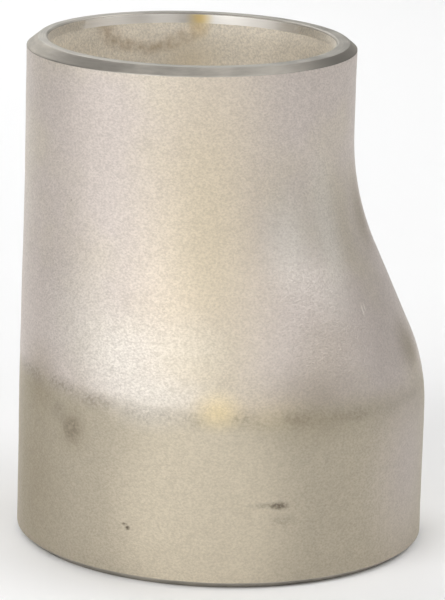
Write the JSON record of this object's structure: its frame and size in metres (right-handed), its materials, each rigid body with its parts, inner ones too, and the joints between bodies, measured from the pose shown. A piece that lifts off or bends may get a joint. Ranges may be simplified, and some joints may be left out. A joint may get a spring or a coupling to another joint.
{
  "type": "eccentric butt-weld pipe reducer",
  "caption": "Seamless stainless pipe reducer with offset ends: one side is straight, the other closes in over an S-shaped shoulder, and both ends are bevelled for butt welding.",
  "frame": {"origin": "centre of the large end's face, which is the bottom centre of the fitting's box", "axes": "+Z along the pipe towards the small end; +X towards the side that closes in, so the straight side is at -X; +Y completes the right-handed frame"},
  "size_m": [0.061, 0.061, 0.0746],
  "materials": {
    "blasted_stainless": "shot-blasted and pickled matte stainless, with turned bevels, root faces and bore mouths"
  },
  "bodies": {
    "root": {"reducer_body": "blasted_stainless"}
  },
  "joints": []
}
